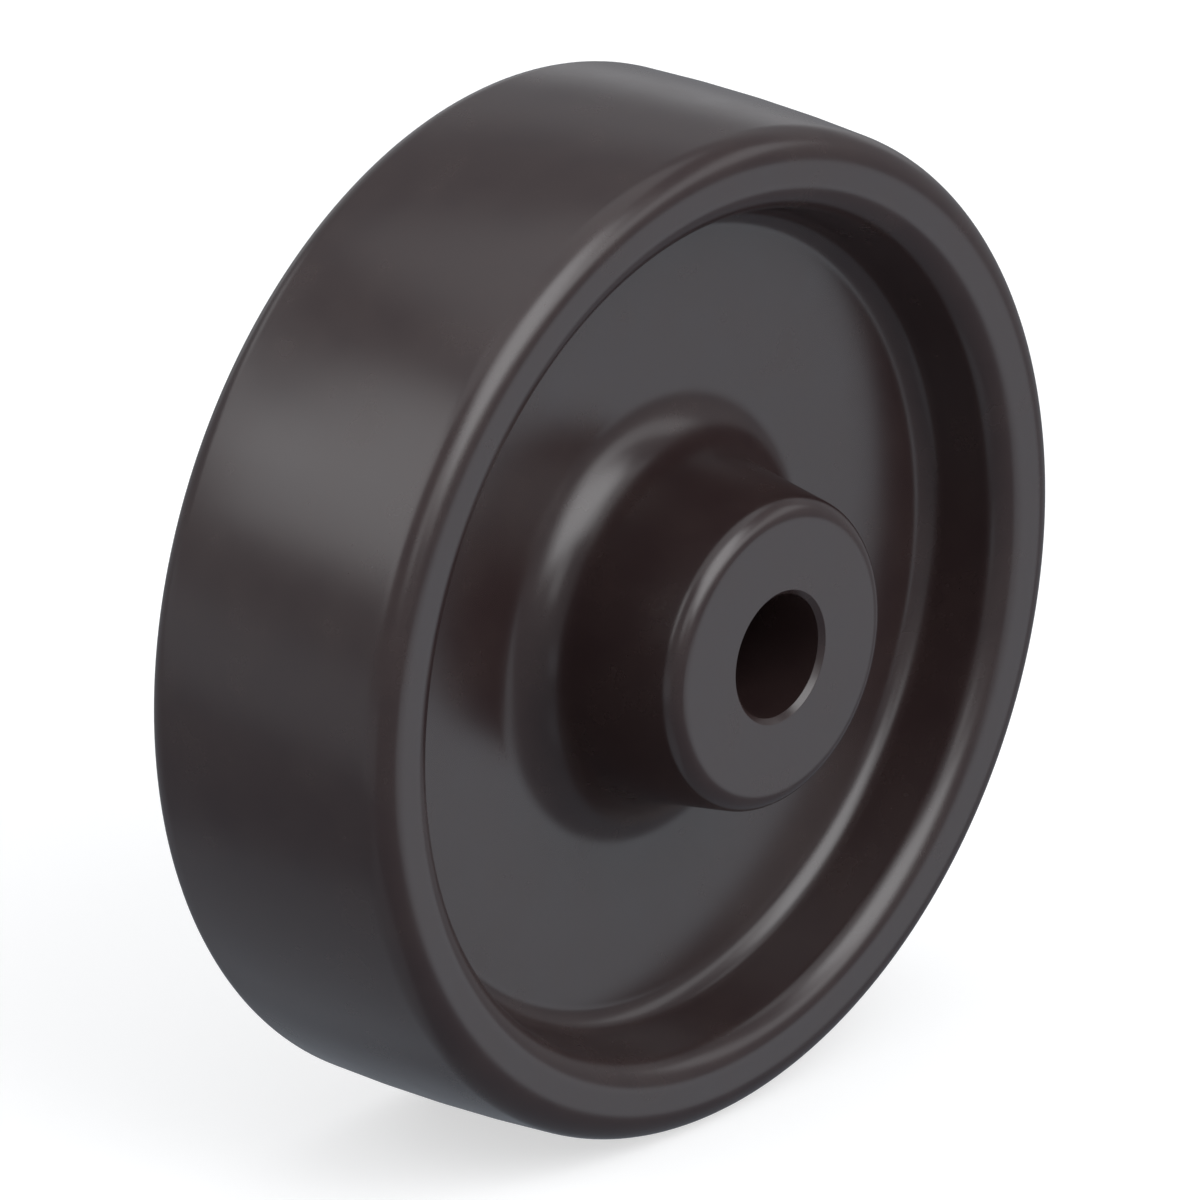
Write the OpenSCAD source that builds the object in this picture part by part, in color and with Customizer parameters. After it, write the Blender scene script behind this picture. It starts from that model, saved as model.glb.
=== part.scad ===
// Solid caster wheel with a plain axle bore, moulded in one piece from a
// fibre-filled phenolic resin. The wheel spins about Y, its centre is the
// origin and Z is up. It has the same section on both sides of its middle
// plane, so either side can face out in the fork.
//
// The whole wheel is one closed section turned about the axle. The section
// is drawn with sharp corners first. Each corner is then rounded by an exact
// arc that touches both of its neighbours.

/* [Tread] */
// Diameter over the middle of the tread
wheel_d = 100; // [96:1:200]
// Width across the two rim faces
tread_w = 30; // [22:0.5:60]
// Radius of the slight crown across the tread
crown_r = 200; // [100:10:1000]
// Rounding between the tread and each rim face
tread_edge_r = 3; // [0.5:0.5:4.5]

/* [Rim] */
// Opening of the rim at its face, before its inner edge is rounded
rim_open_d = 84; // [54:0.5:88]
// Rounding of the rim's inner edge
rim_edge_r = 3; // [0.5:0.5:5]
// Mould draft of the rim's inner wall, in degrees
rim_draft = 12; // [1:0.5:25]
// Fillet where the inner wall runs into the web
rim_fillet_r = 2.5; // [0.5:0.5:6]

/* [Web] */
// Thickness of the solid web
web_t = 12.7; // [4:0.1:20]

/* [Hub] */
// Length of the hub over its two end faces
hub_l = 45; // [28:0.5:90]
// Diameter of the hub at its end faces, before their edges are rounded
hub_d = 30.5; // [18:0.5:60]
// Mould draft of the hub's outside, in degrees
hub_draft = 8.5; // [1:0.5:20]
// Rounding of each end face's outer edge
hub_edge_r = 2; // [0.5:0.5:5]
// Large fillet where the hub grows out of the web
hub_fillet_r = 5.5; // [1:0.5:12]

/* [Bore] */
// Bore that runs on the axle tube or bush
bore_d = 12.2; // [8:0.1:26]
// How much wider the lead-in makes the mouth, measured on the radius
lead_in_r = 0.5; // [0.1:0.1:2]
// How deep the lead-in reaches into the bore
lead_in_l = 0.5; // [0.1:0.1:3]

/* [Colour] */
// Dark brown-black of the moulding
wheel_colour = "#292020";

/* [Hidden] */
wheel_r = wheel_d/2;
bore_r = bore_d/2;
half_w = tread_w/2;
half_web = web_t/2;
half_hub = hub_l/2;

// Centre of the crown's arc, on the middle plane and beyond the axle
crown_c = [wheel_r - crown_r, 0];
// Where the crown meets the plane of a rim face
tread_corner = [crown_c.x + sqrt(pow(crown_r, 2) - pow(half_w, 2)), half_w];

// Sharp corners of one side, from the rim face in to the hub's end face
rim_corner = [rim_open_d/2, half_w];
rim_foot = [rim_corner.x - (half_w - half_web)*tan(rim_draft), half_web];
hub_corner = [hub_d/2, half_hub];
hub_foot = [hub_corner.x + (half_hub - half_web)*tan(hub_draft), half_web];
bore_corner = [bore_r, half_hub];

// The sharp section reaches past the crown, which then trims it
trim = 2;
// How far the cut or fill of a corner reaches past the corner itself
reach = 1;
// Sides of a full circle: the wheel itself, and each corner's rounding
wheel_fn = 144;
corner_fn = 64;
// The crown's arc is a small part of a large circle, so it has more sides
crown_fn = 720;

function unit(v) = v/norm(v);
// Angle between the two sides that meet at corner c
function corner_angle(a, c, b) = acos(unit(a - c)*unit(b - c));
// Distance from corner c to where an arc of radius r touches its sides
function touch(a, c, b, r) = r/tan(corner_angle(a, c, b)/2);
// Centre of that arc, on the bisector of the corner
function arc_centre(a, c, b, r) =
    c + unit(unit(a - c) + unit(b - c))*r/sin(corner_angle(a, c, b)/2);

// The sliver between a sharp corner and the arc that replaces it. Taken
// away it rounds an outer corner, added it fills an inner one. The tip
// lies past the corner, so no edge of it lies along the section's own.
module corner_sliver(a, c, b, r) {
    t = touch(a, c, b, r);
    centre = arc_centre(a, c, b, r);
    difference() {
        polygon([c + unit(a - c)*t, c + unit(c - centre)*reach, c + unit(b - c)*t]);
        translate(centre) circle(r, $fn = corner_fn);
    }
}

// The same sliver at the tread's edge, where one side is the crown's arc
module tread_sliver() {
    r = tread_edge_r;
    y = half_w - r;
    centre = [crown_c.x + sqrt(pow(crown_r - r, 2) - pow(y, 2)), y];
    difference() {
        polygon([
            [centre.x, half_w],
            tread_corner + [reach, reach],
            crown_c + unit(centre - crown_c)*crown_r
        ]);
        translate(centre) circle(r, $fn = corner_fn);
    }
}

// Both sides of the middle plane, from what is drawn for one
module both_sides() {
    children();
    mirror([0, 1]) children();
}

// Section with sharp corners, trimmed by the crown
module sharp_section() {
    side = [bore_corner, hub_corner, hub_foot, rim_foot, rim_corner];
    outer = wheel_r + trim;
    intersection() {
        polygon(concat(
            side,
            [[outer, half_w], [outer, -half_w]],
            [for (i = [len(side) - 1 : -1 : 0]) [side[i].x, -side[i].y]]
        ));
        translate(crown_c) circle(crown_r, $fn = crown_fn);
    }
}

// Outer corners of one side, rounded: tread, rim opening and hub end
module outer_corners() {
    tread_sliver();
    corner_sliver(tread_corner, rim_corner, rim_foot, rim_edge_r);
    corner_sliver(hub_foot, hub_corner, bore_corner, hub_edge_r);
}

// Inner corners of one side, filled: the two edges of the web
module inner_corners() {
    corner_sliver(rim_corner, rim_foot, hub_foot, rim_fillet_r);
    corner_sliver(rim_foot, hub_foot, hub_corner, hub_fillet_r);
}

// Lead-in at one mouth of the bore
module lead_in() {
    polygon([
        [bore_r, half_hub - lead_in_l],
        [bore_r + lead_in_r, half_hub],
        [bore_r + lead_in_r, half_hub + reach],
        [bore_r - reach, half_hub + reach],
        [bore_r - reach, half_hub - lead_in_l]
    ]);
}

// Finished section, to the right of the axle
module wheel_section() {
    difference() {
        union() {
            sharp_section();
            both_sides() inner_corners();
        }
        both_sides() {
            outer_corners();
            lead_in();
        }
    }
}

// The section turned about the axle, which lies along Y
module wheel() {
    color(wheel_colour)
        rotate([90, 0, 0])
            rotate_extrude($fn = wheel_fn)
                wheel_section();
}

wheel();
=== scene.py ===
import math

import bmesh
import bpy
from mathutils import Matrix, Quaternion, Vector


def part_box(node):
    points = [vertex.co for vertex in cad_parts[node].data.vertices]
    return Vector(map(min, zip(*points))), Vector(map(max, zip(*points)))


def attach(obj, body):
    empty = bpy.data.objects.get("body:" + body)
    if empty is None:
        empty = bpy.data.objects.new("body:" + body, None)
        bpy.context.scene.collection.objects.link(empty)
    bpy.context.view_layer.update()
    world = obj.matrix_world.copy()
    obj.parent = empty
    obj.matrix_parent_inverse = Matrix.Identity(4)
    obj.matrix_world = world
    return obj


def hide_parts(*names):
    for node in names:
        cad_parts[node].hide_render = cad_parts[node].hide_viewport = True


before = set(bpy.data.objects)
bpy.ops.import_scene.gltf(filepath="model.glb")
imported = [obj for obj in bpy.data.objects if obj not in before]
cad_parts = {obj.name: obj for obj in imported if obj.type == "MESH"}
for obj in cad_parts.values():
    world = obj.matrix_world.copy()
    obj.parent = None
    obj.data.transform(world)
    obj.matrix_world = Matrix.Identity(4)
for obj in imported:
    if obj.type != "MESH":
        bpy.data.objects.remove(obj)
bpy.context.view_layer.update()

# The wheel's sizes are in millimetres, as on its drawing, and the studio's are in metres
MM = 0.001

# Outer sizes, from the frame
lowest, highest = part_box("wheel")
WHEEL_R = (highest.z - lowest.z) / 2 / MM
HALF_HUB = (highest.y - lowest.y) / 2 / MM

# Tread
HALF_TREAD = 15.0
CROWN_R = 200.0
TREAD_EDGE_R = 3.0

# Rim, from its face in to the web
RIM_OPEN_R = 42.0
RIM_EDGE_R = 3.0
RIM_DRAFT = math.radians(12)
RIM_FILLET_R = 2.5

# Web
HALF_WEB = 6.35

# Hub
HUB_R = 15.25
HUB_DRAFT = math.radians(8.5)
HUB_EDGE_R = 2.0
HUB_FILLET_R = 5.5

# Bore, its lead-in and how much the moulding softens their edges
BORE_R = 6.1
LEAD_IN_R = 0.5
LEAD_IN_L = 0.5
BORE_EDGE_R = 0.12

# Fineness of the mesh: steps of the turn, and steps of each arc of the section
TURN_STEPS = 256
ARC_STEP = math.radians(7)
FEWEST_ARC_STEPS = 4
# A straight side gets a point this far in from each end, if it is longer than so many of these
HOLD = 0.25
LEAST_HOLDS = 4
# Points closer together than this, in metres, become one
MERGE_DISTANCE = 1e-7

# Resin: its colour from darkest to palest, and the roughness of its skin
RESIN_DARK = "#2b1f1f"
RESIN_PALE = "#2f2322"
RESIN_IOR = 1.6
SKIN_SMOOTH = 0.24
SKIN_DULL = 0.28
# Clouds of filler, and the pebbles of the skin with their height
CLOUD_SIZE = 6.0
PEBBLE_SIZE = 0.8
PEBBLE_HEIGHT = 0.002

# Lights: how far they stand from the wheel, and the tints of the lamps and of the white cards
LIGHT_DISTANCE = 0.8
NEUTRAL = (1.0, 1.01, 1.025)
COOL = (0.87, 0.955, 1.03)

# Light from all round: its colour above and below. It turns from one to the other between level
# and this height of a direction, where -1 is straight down
ABOVE = (0.338, 0.348, 0.367, 1)
BELOW = (0.195, 0.215, 0.245, 1)
BELOW_HEIGHT = -0.6
WHITE = (1, 1, 1, 1)

# Floor: its colour as it lights the wheel and as the camera sees it, and what it glows by itself
FLOOR_SIZE = 4.0
FLOOR_OWN = "#b0b0b0"
FLOOR_SEEN = "#c0c0c0"
FLOOR_GLOW = 0.6

# The photograph is a parallel view, in which the wheel's centre lies at this pixel
VIEW_AZIMUTH = -49.768
VIEW_ELEVATION = 21.863
FRAME_PX = 1200
CENTRE_PX = (599.58, 600.25)
PX_PER_MM = 10.543
CAMERA_DISTANCE = 1.0
CAMERA_NEAR = 0.01
CAMERA_FAR = 10.0


def hex_colour(code):
    """sRGB hex code as a linear colour with full alpha."""
    channels = [int(code[i:i + 2], 16) / 255 for i in (1, 3, 5)]
    linear = [c / 12.92 if c <= 0.04045 else ((c + 0.055) / 1.055) ** 2.4 for c in channels]
    return (*linear, 1.0)


def add_node(tree, kind, links=(), **settings):
    """Adds a node. Settings name its properties or inputs, links are (input, output) pairs."""
    node = tree.nodes.new(kind)
    for name, value in settings.items():
        if hasattr(node, name):
            setattr(node, name, value)
        else:
            node.inputs[name.replace("_", " ")].default_value = value
    for socket, source in links:
        tree.links.new(source, node.inputs[socket])
    return node


def finish_piece(bm, name, material):
    """Turns a bmesh into a smooth piece of the object that rides on its only body."""
    bmesh.ops.remove_doubles(bm, verts=bm.verts, dist=MERGE_DISTANCE)
    bmesh.ops.recalc_face_normals(bm, faces=bm.faces)
    for face in bm.faces:
        face.smooth = True
    mesh = bpy.data.meshes.new(name)
    bm.to_mesh(mesh)
    bm.free()
    mesh.materials.append(material)
    piece = bpy.data.objects.new(name, mesh)
    bpy.context.scene.collection.objects.link(piece)
    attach(piece, "root")
    return piece


def straight_side(bm, start, end):
    """Straight side of a section, with a point near each end that keeps its shading flat."""
    edge = bm.edges.new((start, end))
    length = edge.calc_length()
    if length > LEAST_HOLDS * HOLD * MM:
        share = HOLD * MM / length
        edge, near_start = bmesh.utils.edge_split(edge, start, share)
        rest = next(e for e in near_start.link_edges if e.other_vert(near_start) == end)
        bmesh.utils.edge_split(rest, end, share / (1 - share))


def rounded_section(bm, corners):
    """Closed section in the XY plane. Each corner (x, y, radius) becomes an arc that touches
    both of its sides, made by spinning the arc's first point about its centre."""
    ends = []
    for i, (x, y, radius) in enumerate(corners):
        corner = Vector((x, y, 0))
        before = Vector((*corners[i - 1][:2], 0)) - corner
        after = Vector((*corners[(i + 1) % len(corners)][:2], 0)) - corner
        half_angle = before.angle(after) / 2
        turn = math.pi - 2 * half_angle
        axis = Vector((0, 0, -before.cross(after).z)).normalized()
        start = corner + before.normalized() * radius / math.tan(half_angle)
        bisector = (before.normalized() + after.normalized()).normalized()
        centre = corner + bisector * radius / math.sin(half_angle)
        first = bm.verts.new(start * MM)
        arc = bmesh.ops.spin(
            bm, geom=[first], cent=centre * MM, axis=axis, angle=turn,
            steps=max(FEWEST_ARC_STEPS, math.ceil(turn / ARC_STEP)), use_merge=False,
        )
        last = next(g for g in arc["geom_last"] if isinstance(g, bmesh.types.BMVert))
        ends.append((first, last))
    for (first, _), (_, last) in zip(ends, ends[-1:] + ends[:-1]):
        straight_side(bm, last, first)


def wheel_section():
    """Sharp corners of the wheel's section and their roundings, from the front mouth of the
    bore over the hub, web, rim and tread, and back along the other side."""
    # The crown is one more rounded corner, where its tangents at the tread's two edges meet
    crown_end = math.asin((HALF_TREAD - TREAD_EDGE_R) / (CROWN_R - TREAD_EDGE_R))
    crown_top = WHEEL_R - CROWN_R + CROWN_R / math.cos(crown_end)
    tread_corner = crown_top - HALF_TREAD * math.tan(crown_end)
    rim_foot = RIM_OPEN_R - (HALF_TREAD - HALF_WEB) * math.tan(RIM_DRAFT)
    hub_foot = HUB_R + (HALF_HUB - HALF_WEB) * math.tan(HUB_DRAFT)
    side = [
        (BORE_R, HALF_HUB - LEAD_IN_L, BORE_EDGE_R),
        (BORE_R + LEAD_IN_R, HALF_HUB, BORE_EDGE_R),
        (HUB_R, HALF_HUB, HUB_EDGE_R),
        (hub_foot, HALF_WEB, HUB_FILLET_R),
        (rim_foot, HALF_WEB, RIM_FILLET_R),
        (RIM_OPEN_R, HALF_TREAD, RIM_EDGE_R),
        (tread_corner, HALF_TREAD, TREAD_EDGE_R),
    ]
    front = [(x, -y, radius) for x, y, radius in side]
    return front + [(crown_top, 0, CROWN_R)] + side[::-1]


def moulded_resin():
    """Heat-hardened phenolic moulding compound, pressed in a polished mould. It gives the eye
    a dark brown-black body under a satin skin, faintly clouded by its short fibre filler."""
    material = bpy.data.materials.new("moulded_phenolic_resin")
    material.use_nodes = True
    tree = material.node_tree
    tree.nodes.clear()
    place = add_node(tree, "ShaderNodeTexCoord").outputs["Object"]

    # Clouds of filler and resin
    clouds = add_node(
        tree, "ShaderNodeTexNoise", [("Vector", place)],
        Scale=1 / (CLOUD_SIZE * MM), Detail=4.0, Roughness=0.55,
    )
    body = add_node(tree, "ShaderNodeValToRGB", [("Fac", clouds.outputs["Fac"])])
    body.color_ramp.elements[0].position = 0.35
    body.color_ramp.elements[0].color = hex_colour(RESIN_DARK)
    body.color_ramp.elements[1].position = 0.65
    body.color_ramp.elements[1].color = hex_colour(RESIN_PALE)

    # The skin is a little duller where filler lies near it
    gloss = add_node(
        tree, "ShaderNodeMapRange", [("Value", clouds.outputs["Fac"])],
        From_Min=0.3, From_Max=0.7, To_Min=SKIN_SMOOTH, To_Max=SKIN_DULL,
    )

    # Fine pebbling of the mould's skin, drawn coarser than it is, because it is too fine to show
    grain = add_node(
        tree, "ShaderNodeTexNoise", [("Vector", place)],
        Scale=1 / (PEBBLE_SIZE * MM), Detail=2.0, Roughness=0.5,
    )
    pebbles = add_node(
        tree, "ShaderNodeBump", [("Height", grain.outputs["Fac"])],
        Strength=0.25, Distance=PEBBLE_HEIGHT * MM,
    )
    skin = add_node(
        tree, "ShaderNodeBsdfPrincipled",
        [
            ("Base Color", body.outputs["Color"]),
            ("Roughness", gloss.outputs["Result"]),
            ("Normal", pebbles.outputs["Normal"]),
        ],
        IOR=RESIN_IOR,
    )
    add_node(tree, "ShaderNodeOutputMaterial", [("Surface", skin.outputs["BSDF"])])
    return material


def build_wheel(material):
    """The whole wheel: one rounded section turned once about the axle."""
    bm = bmesh.new()
    rounded_section(bm, wheel_section())
    bmesh.ops.remove_doubles(bm, verts=bm.verts, dist=MERGE_DISTANCE)
    bmesh.ops.spin(
        bm, geom=bm.verts[:] + bm.edges[:], cent=(0, 0, 0), axis=(0, 1, 0),
        angle=math.tau, steps=TURN_STEPS, use_merge=True,
    )
    wheel = finish_piece(bm, "moulded_wheel", material)
    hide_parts("wheel")


def direction(azimuth, elevation):
    """Unit vector from the wheel's centre; azimuth 0 is in front of it and 90 to its right."""
    a = math.radians(azimuth)
    e = math.radians(elevation)
    return Vector((math.sin(a) * math.cos(e), -math.cos(a) * math.cos(e), math.sin(e)))


def soft_light(name, azimuth, elevation, half_width, half_height, level, lean=0, tint=NEUTRAL):
    """Softbox or white card aimed at the wheel, with the half angles that it takes up as seen
    from there. Its level is its brightness, where white paper in plain light is 1. It leans
    to the left by so many degrees, as seen from the wheel."""
    lamp = bpy.data.lights.new(name, "AREA")
    lamp.shape = "RECTANGLE"
    lamp.size = 2 * LIGHT_DISTANCE * math.tan(math.radians(half_width))
    lamp.size_y = 2 * LIGHT_DISTANCE * math.tan(math.radians(half_height))
    lamp.energy = level * math.pi * lamp.size * lamp.size_y
    lamp.color = tint
    light = bpy.data.objects.new(name, lamp)
    bpy.context.scene.collection.objects.link(light)
    away = direction(azimuth, elevation)
    light.location = away * LIGHT_DISTANCE
    upright = away.to_track_quat("Z", "Y")
    light.rotation_euler = (upright @ Quaternion((0, 0, 1), math.radians(-lean))).to_euler()
    light.visible_camera = False


def studio_lights():
    """Lights and cards of the studio, each placed by the highlight that it makes."""
    # Tall main light in front of the wheel, brighter in its upper half
    soft_light("key_low", 4, 32.4, 21.4, 22.5, 1.39, lean=-4.5)
    soft_light("key_high", -6, 40.7, 21, 23, 1.92, lean=-6.5)

    # Large light on the tread's side, with a narrow one beyond it
    soft_light("side_back", -112.5, 34.5, 21.8, 17.3, 1.72)
    soft_light("side_far", -156, 32, 19.7, 5.8, 1.2, lean=14)

    # Light panel over the wheel
    soft_light("overhead", 0, 90, 32.5, 32.5, 0.63, lean=-45)

    # Weaker lights beside the main one and behind the wheel
    soft_light("fill_right", 41.8, 21.4, 23.7, 8.8, 0.95, lean=-16.5)
    soft_light("fill_left", -38.6, 24.8, 8.8, 12, 1.17, lean=23.5)
    soft_light("back_low", 136, 7, 38, 7, 0.35)
    soft_light("back_high", 120, 31, 40, 6, 0.18)

    # White cards below the wheel
    soft_light("card_right", 35.5, -21.1, 23.4, 7.1, 0.7, lean=4.5, tint=COOL)
    soft_light("card_left", -108, -10.6, 46, 8.9, 0.3, lean=9, tint=COOL)
    soft_light("card_back", -122, -60, 41, 19.5, 0.17, tint=COOL)
    soft_light("card_far", 141, -41, 12, 10, 0.075, tint=COOL)


def studio_world():
    """Even pale light from all round, darker and cooler below, which the camera sees as white."""
    world = bpy.data.worlds.new("studio")
    world.use_nodes = True
    tree = world.node_tree
    tree.nodes.clear()
    path = add_node(tree, "ShaderNodeLightPath")
    way = add_node(tree, "ShaderNodeTexCoord").outputs["Generated"]
    height = add_node(tree, "ShaderNodeSeparateXYZ", [("Vector", way)]).outputs["Z"]
    share = add_node(
        tree, "ShaderNodeMapRange", [("Value", height)], From_Min=BELOW_HEIGHT, From_Max=0.0,
    )
    tint = add_node(tree, "ShaderNodeValToRGB", [("Fac", share.outputs["Result"])])
    tint.color_ramp.elements[0].color = BELOW
    tint.color_ramp.elements[1].color = ABOVE
    glow = add_node(tree, "ShaderNodeBackground", [("Color", tint.outputs["Color"])], Strength=1.0)
    white = add_node(tree, "ShaderNodeBackground", Color=WHITE, Strength=1.0)
    mixed = add_node(
        tree, "ShaderNodeMixShader",
        [(0, path.outputs["Is Camera Ray"]), (1, glow.outputs[0]), (2, white.outputs[0])],
    )
    add_node(tree, "ShaderNodeOutputWorld", [("Surface", mixed.outputs[0])])
    bpy.context.scene.world = world


def white_floor():
    """Matt paper floor. The camera sees it as white with the wheel's shadow on it. The wheel's
    gloss looks through it at the cards below, as through a table of clear glass."""
    material = bpy.data.materials.new("floor_paper")
    material.use_nodes = True
    tree = material.node_tree
    tree.nodes.clear()
    path = add_node(tree, "ShaderNodeLightPath")
    own = add_node(tree, "ShaderNodeBsdfDiffuse", Color=hex_colour(FLOOR_OWN))
    pale = add_node(tree, "ShaderNodeBsdfDiffuse", Color=hex_colour(FLOOR_SEEN))
    glow = add_node(tree, "ShaderNodeEmission", Color=WHITE, Strength=FLOOR_GLOW)
    lifted = add_node(tree, "ShaderNodeAddShader", [(0, pale.outputs[0]), (1, glow.outputs[0])])
    seen = add_node(
        tree, "ShaderNodeMixShader",
        [(0, path.outputs["Is Camera Ray"]), (1, own.outputs[0]), (2, lifted.outputs[0])],
    )
    add_node(tree, "ShaderNodeOutputMaterial", [("Surface", seen.outputs[0])])

    bm = bmesh.new()
    bmesh.ops.create_grid(bm, x_segments=1, y_segments=1, size=FLOOR_SIZE / 2)
    bmesh.ops.translate(bm, vec=(0, 0, -WHEEL_R * MM), verts=bm.verts)
    mesh = bpy.data.meshes.new("floor")
    bm.to_mesh(mesh)
    bm.free()
    mesh.materials.append(material)
    floor = bpy.data.objects.new("floor", mesh)
    bpy.context.scene.collection.objects.link(floor)
    floor.visible_glossy = False
    floor.visible_shadow = False


def photo_camera():
    """Parallel camera at the photograph's angle and scale."""
    data = bpy.data.cameras.new("camera")
    data.type = "ORTHO"
    data.ortho_scale = FRAME_PX / PX_PER_MM * MM
    data.clip_start = CAMERA_NEAR
    data.clip_end = CAMERA_FAR
    camera = bpy.data.objects.new("camera", data)
    bpy.context.scene.collection.objects.link(camera)
    back = direction(VIEW_AZIMUTH, VIEW_ELEVATION)
    right = direction(VIEW_AZIMUTH + 90, 0)
    up = back.cross(right)
    aside = (FRAME_PX / 2 - CENTRE_PX[0]) / PX_PER_MM * MM
    raised = (CENTRE_PX[1] - FRAME_PX / 2) / PX_PER_MM * MM
    camera.location = back * CAMERA_DISTANCE + right * aside + up * raised
    camera.rotation_euler = Matrix((right, up, back)).transposed().to_euler()
    bpy.context.scene.camera = camera


photo_camera()
build_wheel(moulded_resin())
white_floor()
studio_world()
studio_lights()
bpy.context.scene.view_settings.view_transform = "Standard"
